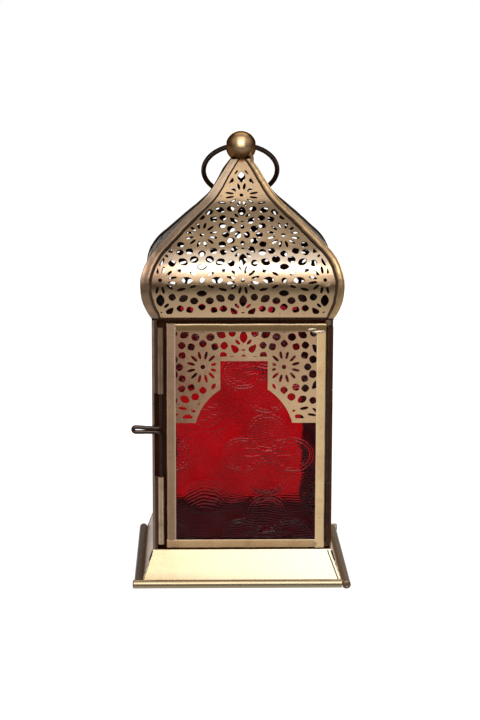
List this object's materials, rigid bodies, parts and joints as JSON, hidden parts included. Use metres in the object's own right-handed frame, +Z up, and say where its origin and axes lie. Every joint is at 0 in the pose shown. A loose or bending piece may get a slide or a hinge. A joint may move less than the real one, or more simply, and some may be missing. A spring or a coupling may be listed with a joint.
{
  "type": "candle lantern",
  "caption": "Square brass candle lantern: flared base, red glass sides behind pierced frets, latched hinged door, pierced ogee roof, ball finial and swinging hanging ring.",
  "frame": {"origin": "centre of the base, on the surface it stands on", "axes": "+Z up; the door faces -Y and its hinge is on the +X side"},
  "size_m": [0.109, 0.109, 0.2251],
  "materials": {
    "roof_brass": "antiqued satin, pierced sheet",
    "fret_brass": "pale satin, pierced sheet",
    "came_brass": "satin with fine cross marks",
    "post_brass": "dark antiqued",
    "base_brass": "bright antiqued",
    "seam_brass": "antiqued, worn bright on the ridges",
    "ball_brass": "antiqued satin",
    "dark_wire": "dark bronzed wire",
    "red_glass": "pressed floral relief, deep red"
  },
  "bodies": {
    "lantern": {"apex_cap": "seam_brass", "back_bottom_rail": "came_brass", "back_fret": "fret_brass", "back_glass": "red_glass", "back_stile_left": "came_brass", "back_stile_right": "came_brass", "back_top_rail": "came_brass", "base_skirt_back": "base_brass", "base_skirt_front": "base_brass", "base_skirt_left": "base_brass", "base_skirt_right": "base_brass", "eave_frame": "post_brass", "finial_ball": "ball_brass", "floor_plate": "post_brass", "header_strip": "post_brass", "hinge_pin": "dark_wire", "latch_stop": "post_brass", "left_bottom_rail": "came_brass", "left_fret": "fret_brass", "left_glass": "red_glass", "left_stile_back": "came_brass", "left_stile_front": "came_brass", "left_top_rail": "came_brass", "post_back_left": "post_brass", "post_back_right": "post_brass", "post_front_left": "post_brass", "post_front_right": "post_brass", "right_bottom_rail": "came_brass", "right_fret": "fret_brass", "right_glass": "red_glass", "right_stile_back": "came_brass", "right_stile_front": "came_brass", "right_top_rail": "came_brass", "roof_panel_back": "roof_brass", "roof_panel_front": "roof_brass", "roof_panel_left": "roof_brass", "roof_panel_right": "roof_brass", "roof_seam_back_left": "seam_brass", "roof_seam_back_right": "seam_brass", "roof_seam_front_left": "seam_brass", "roof_seam_front_right": "seam_brass", "sill_strip": "post_brass"},
    "door": {"door_bottom_rail": "came_brass", "door_fret": "fret_brass", "door_glass": "red_glass", "door_hinge_stile": "came_brass", "door_knuckle": "post_brass", "door_latch_stile": "came_brass", "door_top_rail": "came_brass"},
    "latch": {"latch_wire": "dark_wire"},
    "ring": {"hanging_ring": "dark_wire"}
  },
  "joints": [
    {"name": "door_hinge", "type": "hinge", "parent": "lantern", "child": "door", "pos_m": [0.0434, -0.0439, 0.0759], "axis": [0, 0, 1], "range_deg": [0, 180]},
    {"name": "latch_turn", "type": "hinge", "parent": "lantern", "child": "latch", "pos_m": [-0.0407, -0.0461, 0.0799], "axis": [0, 0, 1], "range_deg": [0, 172]},
    {"name": "ring_swing", "type": "hinge", "parent": "lantern", "child": "ring", "pos_m": [0, 0, 0.2173], "axis": [1, 0, 0], "range_deg": [0, 274]}
  ]
}
